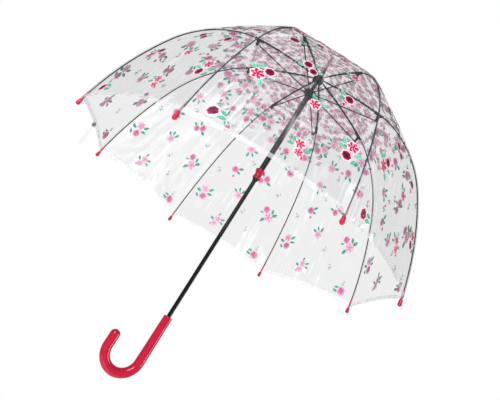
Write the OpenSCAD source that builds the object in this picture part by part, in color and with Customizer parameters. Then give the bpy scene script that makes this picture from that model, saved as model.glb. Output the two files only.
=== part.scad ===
// Clear bubble umbrella, open, standing on the lowest point of its handle.
// The shaft runs along +Z, the crook of the handle points along +X, and rib 1 lies over the crook.
// A slope is the angle below the horizontal, in degrees, of a line that leads away from the shaft.

/* [Shaft] */
// Outer diameter of the steel tube
shaft_d = 10; // [9.6:0.1:10.4]
// Wall of the steel tube
shaft_wall = 0.8; // [0.6:0.1:1]
// Height of the tube's lower end, inside the handle
shaft_bottom = 95; // [85:1:110]
// Height of the tube's upper end, inside the ferrule
shaft_top = 905; // [898:1:912]

/* [Handle] */
// Diameter of the crook
crook_d = 22; // [20:0.5:24]
// Diameter of the handle at its upper end
handle_top_d = 20.4; // [18:0.2:22]
// Radius of the bend, to the centre line
crook_r = 41; // [36:1:46]
// Length of the crook's straight end past the bend
crook_end = 24; // [15:1:35]
// Height of the handle's upper end
handle_top = 165; // [150:1:180]

/* [Crown and ferrule] */
// Height of the ring that the ribs hang on
crown_z = 877; // [870:1:880]
// Radius of the ring that the ribs hang on
crown_r = 11; // [10.5:0.5:12]
// Diameter of the ring wires
wire_d = 1.4; // [1.2:0.1:1.5]
// Height of the top of the ferrule
ferrule_top = 958; // [940:1:975]

/* [Ribs] */
// Length of an upper rib from the crown ring to the rib joint
upper_len = 193; // [190:1:196]
// Slope of an upper rib at the crown
upper_slope = 6.5; // [5:0.5:8]
// Bend of an upper rib along its length
upper_turn = 12; // [10:0.5:13]
// Change of slope at the rib joint
joint_kink = 3; // [0:0.5:5]
// Length of the shoulder stretch of a lower rib
shoulder_len = 66; // [60:1:72]
// Bend of the shoulder stretch
shoulder_turn = 16; // [14:0.5:18]
// Length of the side stretch of a lower rib
side_len = 162; // [155:1:170]
// Bend of the side stretch
side_turn = 28; // [26:0.5:30]
// Length of the skirt stretch of a lower rib, to its tip
skirt_len = 249; // [240:1:258]
// Bend of the skirt stretch
skirt_turn = 17; // [15:0.5:19]
// Diameter of the lower rib's rod
rod_d = 2.8; // [2.4:0.1:3]

/* [Runner] */
// Height of the ring that the stretchers hang on
hub_z = 828; // [826:0.5:829]
// Radius of the ring that the stretchers hang on
hub_r = 13; // [12.5:0.5:14]
// Height of the sleeve's lower end
sleeve_bottom = 545; // [540:1:550]
// Outer diameter of the sleeve
sleeve_d = 14; // [13.6:0.1:14.6]
// Length of the grip
grip_len = 25; // [22:1:30]
// Diameter of the grip's upper flange
grip_d = 24.4; // [22:0.2:27]

/* [Stretchers] */
// Distance of the stretcher's rivet from the shaft axis
rivet_r = 188; // [187:0.5:189]
// Height of the stretcher's rivet
rivet_z = 822; // [821:0.5:823]
// Sideways step of the stretcher's outer end, which passes beside its rib
side_step = 5; // [4.8:0.1:5.4]

/* [Canopy] */
// Film thickness of the plain canopy solid
film = 0.3; // [0.2:0.1:0.8]
// Gap from a rib's centre line to the film, along the film's normal
film_gap = 3.1; // [3:0.1:3.4]
// Rise of the hem at the middle of a panel
hem_rise = 12; // [6:1:18]
// Fullness of a panel between its ribs: 0 is a flat chord, 1 a full circle
fullness = 0.15; // [0:0.05:0.3]

/* [Tie strap] */
// Width of the strap
strap_w = 16; // [12:1:20]
// Length of the strap, folded
strap_len = 76; // [60:1:90]
// Thickness of one leaf of the strap
strap_t = 0.8; // [0.6:0.1:1]

/* [Hidden] */

$fn = 48;
rib_count = 8;
rib_step = 360 / rib_count;

shaft_r = shaft_d / 2;
shaft_bore = shaft_r - shaft_wall;
crook_tube_r = crook_d / 2;
bend_z = crook_tube_r + crook_r;
run_clear = 0.08;
runner_bore = shaft_r + run_clear;
wire_r = wire_d / 2;
eye_clear = 0.1;

notch_r = crown_r + 3;
notch_bottom = crown_z - 9;
notch_top = crown_z + 4;
slot_w = 2.0;
blade_t = 1.4;
blade_h = 3;

channel_w = 3.2;
channel_h = 3;
channel_wall = 0.6;
channel_top = 1.2;
channel_start = 12;
channel_gap = 6;

cheek_t = 1.3;
fork_gap = 2.6;
joint_w = fork_gap + 2 * cheek_t;
joint_back = 24;
joint_top = 1.2;
joint_low = -4.4;
knuckle_r = 2.6;
pin_r = 0.9;
rivet_head_r = 1.8;
eye_r = 2.6;
rod_r = rod_d / 2;
rod_neck_r = 1.05;
lug_t = 2.4;

sleeve_r = sleeve_d / 2;
sleeve_top = hub_z - 12;
hub_top = hub_z + 7;
hub_flange_r = hub_r + 3.4;
hub_slot_r = hub_r - 3.4;
grip_bottom = sleeve_bottom + 5;
collar = 8;
channel_depth = 1.5;
channel_slot_w = 3.2;

catch_t = 2.2;
catch_nose = 6.4;
catch_back = 1.5;
catch_h = 18;
catch_tail = 14;

stop_pin_r = 1;
stop_pin_z = hub_top + 0.2 + stop_pin_r;
crown_pin_r = 1;
crown_pin_z = notch_bottom + 2.5;
handle_pin_r = 1.5;
handle_pin_z = 130;

shank_len = 20;
shank_r = 1.95;
neck_r = 1.7;
neck_len = 2.5;
head_len = 17;
head_r = 4.8;

washer_t = 2;
washer_bottom = notch_top + film;
ferrule_bottom = washer_bottom + washer_t;

panel_cols = 4;
film_edge_part = 0.992;

// A walk is a place (distance from the axis, height) and the slope there.
function heading_normal(slope) = [sin(slope), cos(slope)];
function arc_radius(len, turn) = len * 180 / (PI * turn);
function arc_centre(p, slope, len, turn) = p - arc_radius(len, turn) * heading_normal(slope);
function arc_end(p, slope, len, turn) =
    arc_centre(p, slope, len, turn) + arc_radius(len, turn) * heading_normal(slope + turn);
function arc_at(p, slope, len, turn, part, lift) =
    arc_centre(p, slope, len, turn)
    + (arc_radius(len, turn) + lift) * heading_normal(slope + turn * part);

crown_p = [crown_r, crown_z];
joint_slope = upper_slope + upper_turn;
joint_p = arc_end(crown_p, upper_slope, upper_len, upper_turn);
shoulder_slope = joint_slope + joint_kink;
side_p = arc_end(joint_p, shoulder_slope, shoulder_len, shoulder_turn);
side_slope = shoulder_slope + shoulder_turn;
skirt_p = arc_end(side_p, side_slope, side_len, side_turn);
skirt_slope = side_slope + side_turn;
tip_p = arc_end(skirt_p, skirt_slope, skirt_len, skirt_turn);
tip_slope = skirt_slope + skirt_turn;

rivet_p = [rivet_r, rivet_z];
hub_p = [hub_r, hub_z];
stretch = rivet_p - hub_p;
stretch_len = norm(stretch);
stretch_slope = -atan2(stretch[1], stretch[0]);

// Closed, each rivet hangs this far from the axis, and the runner has come down by its travel.
closed_rivet_r = 20;
closed_rivet_z = crown_z - sqrt(pow(norm(rivet_p - crown_p), 2) - pow(closed_rivet_r - crown_r, 2));
closed_hub_z = closed_rivet_z - sqrt(pow(stretch_len, 2) - pow(closed_rivet_r - hub_r, 2));
runner_travel = hub_z - closed_hub_z;
top_catch_z = sleeve_bottom - 0.5 - catch_h;
bottom_catch_z = sleeve_bottom - runner_travel + collar + 0.5;

hem_line = film_line(0);
hem_mid = film_point(hem_line, len(hem_line) - 1, panel_cols / 2);
strap_gap = 2.4;
strap_out = strap_gap / 2 + strap_t;
strap_bead_r = 1;
strap_r = norm([hem_mid[0], hem_mid[1]]) - 5;
strap_top = hem_mid[2] + 12;
snap_z = hem_mid[2] - 5;
snap_post_r = 1.6;
snap_boss_r = 3.6;

// Puts its children on rib number i.
module on_rib(i) {
    rotate([0, 0, (i - 1) * rib_step]) children();
}

// Puts its children at a place beside the axis, with their +X running down the slope.
module at_slope(p, slope) {
    translate([p[0], 0, p[1]]) rotate([0, slope, 0]) children();
}

// Sweeps a flat profile along an arc. The profile's x is the lift above the arc, its y is sideways.
module arc_sweep(p, slope, len, turn, from = 0, to = 1) {
    c = arc_centre(p, slope, len, turn);
    translate([c[0], 0, c[1]])
        rotate([90, 0, 0])
            rotate([0, 0, 90 - slope - turn * to])
                rotate_extrude(angle = turn * (to - from), $fn = 360)
                    translate([arc_radius(len, turn), 0])
                        children();
}

// A disc across the rib's plane, centred sideways on y.
module cross_disc(r, t, y = 0) {
    translate([0, y + t / 2, 0]) rotate([90, 0, 0]) cylinder(r = r, h = t);
}

// A ring of round wire about the shaft.
module wire_ring(ring_r, r) {
    rotate_extrude($fn = 96) translate([ring_r, 0]) circle(r = r, $fn = 24);
}

// A tube about the shaft between two heights.
module tube(outer, inner, low, high) {
    difference() {
        translate([0, 0, low]) cylinder(r = outer, h = high - low);
        translate([0, 0, low - 1]) cylinder(r = inner, h = high - low + 2);
    }
}

// Radial slots that start at a radius and leave through the rim.
module rib_slots(start, low, high) {
    for (i = [1 : rib_count])
        on_rib(i) translate([start, -slot_w / 2, low]) cube([20, slot_w, high - low]);
}

module shaft_tube() {
    color("#26282b") difference() {
        tube(shaft_r, shaft_bore, shaft_bottom, shaft_top);
        for (z = [top_catch_z, bottom_catch_z])
            translate([-catch_t / 2 - 0.2, -shaft_r - 1, z - 0.5])
                cube([catch_t + 0.4, 4, catch_h + 1]);
        stop_pin_shape();
        crown_pin_shape();
        handle_pin_shape();
    }
}

module handle_pin_shape() {
    translate([0, shaft_r + 2, handle_pin_z]) rotate([90, 0, 0])
        cylinder(r = handle_pin_r, h = shaft_r + 2 + 10.6, $fn = 24);
}

module handle_pin() {
    color("silver") intersection() {
        handle_pin_shape();
        translate([0, 0, handle_pin_z - 5]) cylinder(r = 10.2, h = 10);
    }
}

module handle() {
    edge = 1.6;
    color("#b3121f") difference() {
        union() {
            // straight grip, tapering up to a rounded top edge
            rotate_extrude() polygon([
                [0, bend_z], [crook_tube_r, bend_z], [handle_top_d / 2, handle_top - 2 * edge],
                [handle_top_d / 2 - 0.3, handle_top - edge / 2], [handle_top_d / 2 - edge, handle_top],
                [0, handle_top],
            ]);
            // half-round bend
            translate([crook_r, 0, bend_z]) rotate([90, 0, 0]) rotate([0, 0, 180])
                rotate_extrude(angle = 180, $fn = 96) translate([crook_r, 0]) circle(r = crook_tube_r);
            // short straight end with a round nose
            translate([2 * crook_r, 0, bend_z]) rotate_extrude() union() {
                square([crook_tube_r, crook_end]);
                intersection() {
                    translate([0, crook_end]) circle(r = crook_tube_r);
                    translate([0, crook_end - 1]) square([crook_tube_r + 1, crook_tube_r + 2]);
                }
            }
        }
        translate([0, 0, shaft_bottom]) cylinder(r = shaft_r, h = handle_top);
        handle_pin_shape();
    }
}

module crown_notch() {
    color("#17181a") difference() {
        tube(notch_r, shaft_r, notch_bottom, notch_top);
        rib_slots(crown_r - 3, notch_bottom - 1, crown_z + 2.6);
        translate([0, 0, crown_z]) wire_ring(crown_r, wire_r);
        crown_pin_shape();
    }
}

module crown_ring() {
    color("silver") translate([0, 0, crown_z]) wire_ring(crown_r, wire_r);
}

// The pin leaves through the solid between two rib slots.
module crown_pin_shape() {
    rotate([0, 0, rib_step / 2]) translate([-notch_r + 1, 0, crown_pin_z]) rotate([0, 90, 0])
        cylinder(r = crown_pin_r, h = 2 * notch_r - 2, $fn = 24);
}

module crown_pin() {
    color("silver") crown_pin_shape();
}

module stop_pin_shape() {
    stick_out = 1.6;
    translate([-shaft_r - stick_out, 0, stop_pin_z]) rotate([0, 90, 0])
        cylinder(r = stop_pin_r, h = 2 * (shaft_r + stick_out), $fn = 24);
}

module stop_pin() {
    color("silver") stop_pin_shape();
}

module top_washer() {
    color("#8e0f1c") rotate_extrude() polygon([
        [shaft_r, washer_bottom], [13.5, washer_bottom], [13, washer_bottom + 1.1],
        [11.5, ferrule_bottom], [shaft_r, ferrule_bottom],
    ]);
}

module ferrule() {
    tip_r = 3.6;
    spike_r = 6.5;
    spike_len = 12;
    shoulder_z = ferrule_bottom + 5;
    color("#8e0f1c") difference() {
        rotate_extrude() union() {
            polygon([
                [0, ferrule_bottom], [8.2, ferrule_bottom], [8.6, ferrule_bottom + 1.2],
                [7.9, shoulder_z - 1.2], [6.9, shoulder_z], [spike_r, shoulder_z + 1],
                [spike_r, shoulder_z + 1 + spike_len], [tip_r, ferrule_top - tip_r],
                [0, ferrule_top - tip_r],
            ]);
            intersection() {
                translate([0, ferrule_top - tip_r]) circle(r = tip_r);
                translate([0, ferrule_top - tip_r - 1]) square([tip_r + 1, tip_r + 2]);
            }
        }
        translate([0, 0, ferrule_bottom - 1]) cylinder(r = shaft_r, h = shaft_top - ferrule_bottom + 1);
    }
}

module runner_sleeve() {
    color("#17181a") difference() {
        tube(sleeve_r, runner_bore, sleeve_bottom, sleeve_top);
        // blind track for the catches, above a plain collar at the lower end
        translate([-channel_slot_w / 2, -runner_bore - channel_depth + 0.02, sleeve_bottom + collar])
            cube([channel_slot_w, 4, sleeve_top - sleeve_bottom]);
    }
}

module runner_grip() {
    flange = grip_d / 2;
    foot = 10;
    waist = 8.7;
    top = grip_bottom + grip_len;
    color("#b3121f") difference() {
        rotate_extrude() union() {
            polygon([
                [sleeve_r, grip_bottom], [foot - 0.8, grip_bottom], [foot, grip_bottom + 0.8],
                [foot, grip_bottom + 3], [waist + 0.5, grip_bottom + 6.5], [waist, grip_bottom + 10],
                [waist, grip_bottom + 12.5], [waist + 1.2, grip_bottom + 16.5],
                [flange, top - 3.4], [flange, top - 1], [flange - 1, top], [sleeve_r, top],
            ]);
        }
        tube_clearance();
    }
}

module tube_clearance() {
    translate([0, 0, sleeve_bottom]) cylinder(r = sleeve_r, h = grip_len + 20);
}

module runner_hub() {
    color("#17181a") difference() {
        rotate_extrude() polygon([
            [runner_bore, sleeve_top], [sleeve_r + 1.4, sleeve_top], [sleeve_r + 1.4, hub_z - 6.5],
            [hub_flange_r - 1.5, hub_z - 4], [hub_flange_r, hub_z - 3], [hub_flange_r, hub_z + 3],
            [hub_flange_r - 1, hub_z + 4], [runner_bore + 3, hub_z + 4], [runner_bore + 2.4, hub_top],
            [runner_bore, hub_top],
        ]);
        rib_slots(hub_slot_r, hub_z - 2.9, hub_top + 1);
        translate([0, 0, hub_z]) wire_ring(hub_r, wire_r);
        // the track for the catches runs on through the hub
        translate([-channel_slot_w / 2, -runner_bore - channel_depth + 0.02, sleeve_top - 1])
            cube([channel_slot_w, 4, hub_top - sleeve_top + 2]);
    }
}

module runner_ring() {
    color("silver") translate([0, 0, hub_z]) wire_ring(hub_r, wire_r);
}

// A flat steel catch inside the tube: a nose through the slot, and a leaf behind it with a tail.
// The nose is square at its top end and sloped below, and the tail runs down.
module catch() {
    color("silver") translate([-catch_t / 2, 0, 0])
        rotate([90, 0, 90]) linear_extrude(catch_t) polygon([
            [-1, -catch_tail], [catch_back, -catch_tail], [catch_back, catch_h],
            [-catch_nose, catch_h], [-shaft_bore, 2], [-shaft_bore, 0], [-1, 0],
        ]);
}

// Holds the runner up: its square end stands just under the sleeve.
module top_spring() {
    translate([0, 0, top_catch_z]) catch();
}

// Holds the runner down: its square end points down, just over the closed sleeve's collar.
module bottom_spring() {
    translate([0, 0, bottom_catch_z + catch_h]) mirror([0, 0, 1]) catch();
}

module upper_rib() {
    blade_part = (channel_start + 2) / upper_len;
    color("#1b1c1e") difference() {
        union() {
            at_slope(crown_p, 0) cross_disc(wire_r + eye_clear + 1.6, blade_t);
            arc_sweep(crown_p, upper_slope, upper_len, upper_turn, 0, blade_part)
                translate([-blade_h / 2, -blade_t / 2]) square([blade_h, blade_t]);
            arc_sweep(crown_p, upper_slope, upper_len, upper_turn,
                    channel_start / upper_len, 1 - channel_gap / upper_len)
                channel_profile();
        }
        at_slope(crown_p, 0) cross_disc(wire_r + eye_clear, blade_t + 2);
    }
}

// A U-shaped section, open towards the inside of the dome.
module channel_profile() {
    low = channel_top - channel_h;
    difference() {
        translate([low, -channel_w / 2]) square([channel_h, channel_w]);
        translate([low - 1, -channel_w / 2 + channel_wall])
            square([channel_h - channel_wall + 1, channel_w - 2 * channel_wall]);
    }
}

// Black clamp at the end of an upper rib. A fork holds the lower rib's knuckle, and a lug below it
// carries a side boss, beside which the stretcher's eye lies.
module rib_joint() {
    boss_y = side_step - 2.35;
    lug_x = (rivet_p - joint_p) * [cos(joint_slope), -sin(joint_slope)];
    lug_z = (rivet_p - joint_p) * heading_normal(joint_slope);
    color("#0f1011") difference() {
        at_slope(joint_p, joint_slope) {
            translate([-joint_back, -joint_w / 2, joint_low])
                cube([joint_back - knuckle_r - 0.8, joint_w, joint_top - joint_low]);
            for (side = [-1, 1]) {
                y = side * (fork_gap + cheek_t) / 2;
                cross_disc(knuckle_r, cheek_t, y);
                translate([-knuckle_r - 1, y - cheek_t / 2, -3])
                    cube([knuckle_r + 1, cheek_t, joint_top + 3]);
            }
            // knuckle pin
            cross_disc(pin_r, joint_w, 0);
            rivet_lug(lug_x, lug_z);
            translate([lug_x, 0, lug_z]) cross_disc(eye_r, boss_y, boss_y / 2);
        }
        // seat of the channel
        arc_sweep(crown_p, upper_slope, upper_len, upper_turn,
                1 - (joint_back + 2) / upper_len, 1 - (channel_gap - 0.1) / upper_len)
            translate([channel_top - channel_h, -channel_w / 2]) square([channel_h + 3, channel_w]);
    }
}

// Flat lug from the block's underside to the stretcher's pivot.
module rivet_lug(x, z) {
    top = joint_low + 1;
    translate([0, lug_t / 2, 0]) rotate([90, 0, 0]) linear_extrude(lug_t) union() {
        polygon([[x - 7, top], [x - eye_r, z], [x + eye_r, z], [x + 2.2, top]]);
        translate([x, z]) circle(r = eye_r);
    }
}

module lower_rib() {
    color("#1b1c1e") difference() {
        union() {
            at_slope(joint_p, 0) cross_disc(knuckle_r, fork_gap - 0.5);
            arc_sweep(joint_p, shoulder_slope, shoulder_len, shoulder_turn) circle(r = rod_neck_r);
            arc_sweep(joint_p, shoulder_slope, shoulder_len, shoulder_turn, 0.09, 1) circle(r = rod_r);
            arc_sweep(side_p, side_slope, side_len, side_turn) circle(r = rod_r);
            arc_sweep(skirt_p, skirt_slope, skirt_len, skirt_turn) circle(r = rod_r);
            at_slope(side_p, side_slope) rod_seam();
            at_slope(skirt_p, skirt_slope) rod_seam();
        }
        at_slope(joint_p, 0) cross_disc(pin_r + run_clear, fork_gap + 2);
    }
}

// Short swell where two bends of the rod meet.
module rod_seam() {
    rotate([0, 90, 0]) cylinder(r = rod_r + 0.05, h = 2, center = true);
}

// Moulded tip: a slender shank over the rod, a neck for the film's corner and a fat round head.
module tip() {
    dome = head_len - head_r;
    color("#b3121f") difference() {
        at_slope(tip_p, tip_slope) rotate([0, 90, 0]) rotate_extrude() union() {
            polygon([
                [0, -shank_len], [shank_r - 0.3, -shank_len], [shank_r, -shank_len + 1],
                [shank_r, -neck_len], [neck_r, -neck_len + 0.6], [neck_r, -0.2], [3.3, 0.8], [3.6, 2],
                [head_r, dome], [0, dome],
            ]);
            intersection() {
                translate([0, dome]) circle(r = head_r);
                translate([0, dome - 1]) square([head_r, head_r + 1]);
            }
        }
        arc_sweep(skirt_p, skirt_slope, skirt_len, skirt_turn, 0.85, 1) circle(r = rod_r);
    }
}

// Bar from the runner's ring to the eye beside the rib joint's boss, with the rivet in its eye.
module stretcher() {
    blade_len = 8;
    blade_w = 1.6;
    eye_t = 1.8;
    head_t = 0.6;
    skew = atan2(side_step, stretch_len);
    color("#1b1c1e") at_slope(hub_p, stretch_slope) difference() {
        union() {
            cross_disc(eye_r, blade_w);
            translate([0, -blade_w / 2, -blade_w]) cube([blade_len, blade_w, 2 * blade_w]);
            rotate([0, 0, skew]) translate([blade_len - 1, 0, 0]) rotate([0, 90, 0])
                cylinder(r = rod_r, h = stretch_len / cos(skew) - blade_len - 1);
            translate([stretch_len, 0, 0]) {
                cross_disc(3, eye_t, side_step);
                cross_disc(rivet_head_r, head_t, side_step + (eye_t + head_t) / 2);
            }
        }
        cross_disc(wire_r + eye_clear, 4);
    }
}

// Film meridian over a rib: distance from the axis and height, from the shaft out to the hem.
function film_line(lift) = concat(
    [[shaft_r + 0.3, notch_top + lift], [notch_r + 2, notch_top + lift]],
    [for (k = [0.16, 0.37, 0.58, 0.79, 1]) arc_at(crown_p, upper_slope, upper_len, upper_turn, k,
        film_gap + lift)],
    [for (k = [0.5, 1]) arc_at(joint_p, shoulder_slope, shoulder_len, shoulder_turn, k, film_gap + lift)],
    [for (k = [1 : 5]) arc_at(side_p, side_slope, side_len, side_turn, k / 5, film_gap + lift)],
    [for (k = [1 : 4]) arc_at(skirt_p, skirt_slope, skirt_len, skirt_turn, k / 4 * film_edge_part,
        film_gap + lift)]
);

// Share of the rib's radius at an angle a from the rib, between a flat chord and a circle.
function panel_share(a) =
    let (chord = cos(rib_step / 2) / cos(rib_step / 2 - a)) chord + fullness * (1 - chord);

// One point of the film: place k on the meridian, column j round the dome.
function film_point(line, k, j) =
    let (
        a = (j % panel_cols) * rib_step / panel_cols,
        share = k < 2 ? 1 : 1 - (1 - panel_share(a)) * min(1, (k - 1) / 3),
        down = max(0, (k - (len(line) - 5)) / 4),
        rise = hem_rise * pow(down, 2) * sin(180 * a / rib_step),
        p = line[k],
        turn = j * rib_step / panel_cols
    )
    [p[0] * share * cos(turn), p[0] * share * sin(turn), p[1] + rise];

module canopy() {
    cols = rib_count * panel_cols;
    outer = film_line(film);
    inner = film_line(0);
    rows = len(outer);
    function at(layer, k, j) = layer * rows * cols + k * cols + (j % cols);
    points = concat(
        [for (k = [0 : rows - 1]) for (j = [0 : cols - 1]) film_point(outer, k, j)],
        [for (k = [0 : rows - 1]) for (j = [0 : cols - 1]) film_point(inner, k, j)]
    );
    faces = concat(
        [for (k = [0 : rows - 2]) for (j = [0 : cols - 1]) for (f = [0, 1])
            f == 0 ? [at(0, k, j), at(0, k, j + 1), at(0, k + 1, j)]
                   : [at(0, k, j + 1), at(0, k + 1, j + 1), at(0, k + 1, j)]],
        [for (k = [0 : rows - 2]) for (j = [0 : cols - 1]) for (f = [0, 1])
            f == 0 ? [at(1, k, j), at(1, k + 1, j), at(1, k, j + 1)]
                   : [at(1, k, j + 1), at(1, k + 1, j), at(1, k + 1, j + 1)]],
        [for (j = [0 : cols - 1]) for (f = [0, 1])
            f == 0 ? [at(0, 0, j), at(1, 0, j), at(0, 0, j + 1)]
                   : [at(0, 0, j + 1), at(1, 0, j), at(1, 0, j + 1)]],
        [for (j = [0 : cols - 1]) for (f = [0, 1])
            f == 0 ? [at(0, rows - 1, j), at(0, rows - 1, j + 1), at(1, rows - 1, j)]
                   : [at(0, rows - 1, j + 1), at(1, rows - 1, j + 1), at(1, rows - 1, j)]]
    );
    color([0.92, 0.93, 0.95, 0.35]) polyhedron(points = points, faces = faces, convexity = 4);
}

// Tie strap, snapped shut on itself, hanging inside the hem half a panel before rib 1.
module on_strap() {
    rotate([0, 0, -rib_step / 2]) translate([strap_r, 0, 0]) children();
}

// Folded strap: two leaves that meet in a round fold at the lower end. The outer leaf is longer and
// hangs on a round bead, about which the strap swings.
module tie_strap() {
    fold_z = strap_top - strap_len + strap_out;
    short_by = 12;
    color([0.92, 0.93, 0.95, 0.5]) on_strap() difference() {
        union() {
            translate([0, strap_w / 2, 0]) rotate([90, 0, 0]) linear_extrude(strap_w) difference() {
                union() {
                    translate([-strap_out, fold_z]) square([2 * strap_out, strap_top - fold_z]);
                    translate([0, fold_z]) circle(r = strap_out);
                }
                translate([-strap_gap / 2, fold_z]) square([strap_gap, strap_len]);
                translate([0, fold_z]) circle(r = strap_gap / 2);
                translate([-strap_out - 1, strap_top - short_by]) square([strap_out + 1, short_by + 1]);
            }
            translate([strap_out - strap_t / 2, 0, strap_top]) cross_disc(strap_bead_r, strap_w);
        }
        translate([-6, 0, snap_z]) rotate([0, 90, 0]) cylinder(r = snap_post_r, h = 12);
    }
}

// Cap outside a leaf, a post through the leaf, and a boss in the gap between the leaves.
module snap_half() {
    cap_r = 5;
    cap_t = 1.2;
    rotate([0, 90, 0]) union() {
        cylinder(r = snap_boss_r, h = strap_gap / 2);
        translate([0, 0, strap_gap / 2]) cylinder(r = snap_post_r, h = strap_t);
        translate([0, 0, strap_out]) cylinder(r = cap_r, h = cap_t);
    }
}

module snap_socket() {
    color("silver") on_strap() translate([0, 0, snap_z]) difference() {
        snap_half();
        rotate([0, 90, 0]) translate([0, 0, -1]) cylinder(r = 2.1, h = 2);
    }
}

module snap_stud() {
    color("silver") on_strap() translate([0, 0, snap_z]) rotate([0, 0, 180]) union() {
        snap_half();
        translate([-0.8, 0, 0]) rotate([0, 90, 0]) cylinder(r = 2, h = 1);
    }
}

shaft_tube();
handle();
handle_pin();
crown_notch();
crown_ring();
crown_pin();
canopy();
top_washer();
ferrule();
stop_pin();
runner_sleeve();
runner_grip();
runner_hub();
runner_ring();
top_spring();
bottom_spring();
tie_strap();
snap_socket();
snap_stud();
for (i = [1 : rib_count]) {
    on_rib(i) upper_rib();
    on_rib(i) rib_joint();
    on_rib(i) lower_rib();
    on_rib(i) tip();
    on_rib(i) stretcher();
}
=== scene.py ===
"""Clear bubble umbrella: film canopy with a rose print, jointed ribs, runner, shaft and crook handle."""
import logging
import math
import random
from collections.abc import Callable
from dataclasses import dataclass, field
from enum import Enum
from typing import ClassVar

import bpy
import numpy as np
from mathutils import Matrix, Vector


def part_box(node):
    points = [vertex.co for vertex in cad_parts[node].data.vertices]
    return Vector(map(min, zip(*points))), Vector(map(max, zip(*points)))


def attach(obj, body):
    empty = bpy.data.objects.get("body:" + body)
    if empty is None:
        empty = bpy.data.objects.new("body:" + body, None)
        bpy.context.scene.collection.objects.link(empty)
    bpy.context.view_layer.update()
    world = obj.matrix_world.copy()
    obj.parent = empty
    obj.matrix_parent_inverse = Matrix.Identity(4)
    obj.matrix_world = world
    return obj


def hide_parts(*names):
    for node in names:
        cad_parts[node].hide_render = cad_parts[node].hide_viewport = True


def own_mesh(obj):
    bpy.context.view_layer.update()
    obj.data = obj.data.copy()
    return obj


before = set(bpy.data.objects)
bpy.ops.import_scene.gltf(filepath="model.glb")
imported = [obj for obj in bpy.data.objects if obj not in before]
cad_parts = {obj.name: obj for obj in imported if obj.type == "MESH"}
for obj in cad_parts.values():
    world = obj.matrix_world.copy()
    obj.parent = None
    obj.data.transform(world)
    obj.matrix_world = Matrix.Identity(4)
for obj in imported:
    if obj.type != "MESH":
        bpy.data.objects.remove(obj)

LOG = logging.getLogger("umbrella")
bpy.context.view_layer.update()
RIBS = 8
RIB_STEP = 2 * math.pi / RIBS
MM = 0.001

Colour = tuple[float, float, float]
Socket = bpy.types.NodeSocket
Surface = Callable[[np.ndarray, np.ndarray], np.ndarray]


def screen_colour(red: int, green: int, blue: int) -> Colour:
    """Turn a colour given as on a screen, 0 to 255, into linear light.

    Args:
        red, green, blue: The three shares.

    Returns:
        The linear colour.
    """
    shares = (red / 255, green / 255, blue / 255)
    return tuple(c / 12.92 if c <= 0.04045 else ((c + 0.055) / 1.055) ** 2.4 for c in shares)


# ---------------------------------------------------------------------------------------------
# Modelling helpers
# ---------------------------------------------------------------------------------------------


def deselect() -> None:
    """Leave object mode with nothing selected."""
    if bpy.context.mode != "OBJECT":
        bpy.ops.object.mode_set(mode="OBJECT")
    bpy.ops.object.select_all(action="DESELECT")


def only(piece: bpy.types.Object) -> None:
    """Make a piece the active and only selected one."""
    deselect()
    piece.select_set(True)
    bpy.context.view_layer.objects.active = piece


def take(name: str) -> bpy.types.Object:
    """Name the piece that was just added, and return it."""
    piece = bpy.context.active_object
    piece.name = piece.data.name = name
    return piece


def add_object(name: str, data: bpy.types.ID) -> bpy.types.Object:
    """Put a mesh, a camera or a light into the scene as an object."""
    found = bpy.data.objects.new(name, data)
    bpy.context.collection.objects.link(found)
    return found


def points_of(mesh: bpy.types.Mesh) -> np.ndarray:
    """Return a mesh's points as rows of three numbers."""
    flat = np.empty(len(mesh.vertices) * 3)
    mesh.vertices.foreach_get("co", flat)
    return flat.reshape(-1, 3)


def set_points(mesh: bpy.types.Mesh, points: np.ndarray) -> None:
    """Put a mesh's points at new places."""
    mesh.vertices.foreach_set("co", np.ascontiguousarray(points, dtype=np.float64).ravel())
    mesh.update()


def thicken(piece: bpy.types.Object, thickness: float, crease: float = 40) -> None:
    """Give a sheet its thickness, half to each side, and shade it.

    Args:
        piece: The sheet.
        thickness: In metres.
        crease: Angle in degrees past which an edge stays sharp.
    """
    only(piece)
    wall = piece.modifiers.new("wall", "SOLIDIFY")
    wall.thickness = thickness
    wall.offset = 0
    bpy.ops.object.modifier_apply(modifier=wall.name)
    bpy.ops.object.shade_smooth_by_angle(angle=math.radians(crease))


def grid_sheet(name: str, columns: int, rows: int, place: Surface, uv_shift: float = 0.0,
               uv_size: tuple[float, float] = (1.0, 1.0)) -> bpy.types.Object:
    """Add a flat grid and lay it on a surface.

    Args:
        name: The piece's name.
        columns: Cells across.
        rows: Cells along.
        place: Takes arrays u and v, both 0 to 1, and returns the points.
        uv_shift: Added to the map's u, so that copies of a pattern differ.
        uv_size: The map's size across and along, in metres.

    Returns:
        The new piece.
    """
    deselect()
    bpy.ops.mesh.primitive_grid_add(x_subdivisions=columns, y_subdivisions=rows, size=1)
    piece = take(name)
    flat = points_of(piece.data)
    set_points(piece.data, place(flat[:, 0] + 0.5, flat[:, 1] + 0.5))
    layer = piece.data.uv_layers.active.uv
    uv = np.empty(len(layer) * 2)
    layer.foreach_get("vector", uv)
    uv = uv.reshape(-1, 2) * uv_size + (uv_shift, 0)
    layer.foreach_set("vector", uv.ravel())
    return piece


# ---------------------------------------------------------------------------------------------
# Shader groups and finishes
# ---------------------------------------------------------------------------------------------


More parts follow.
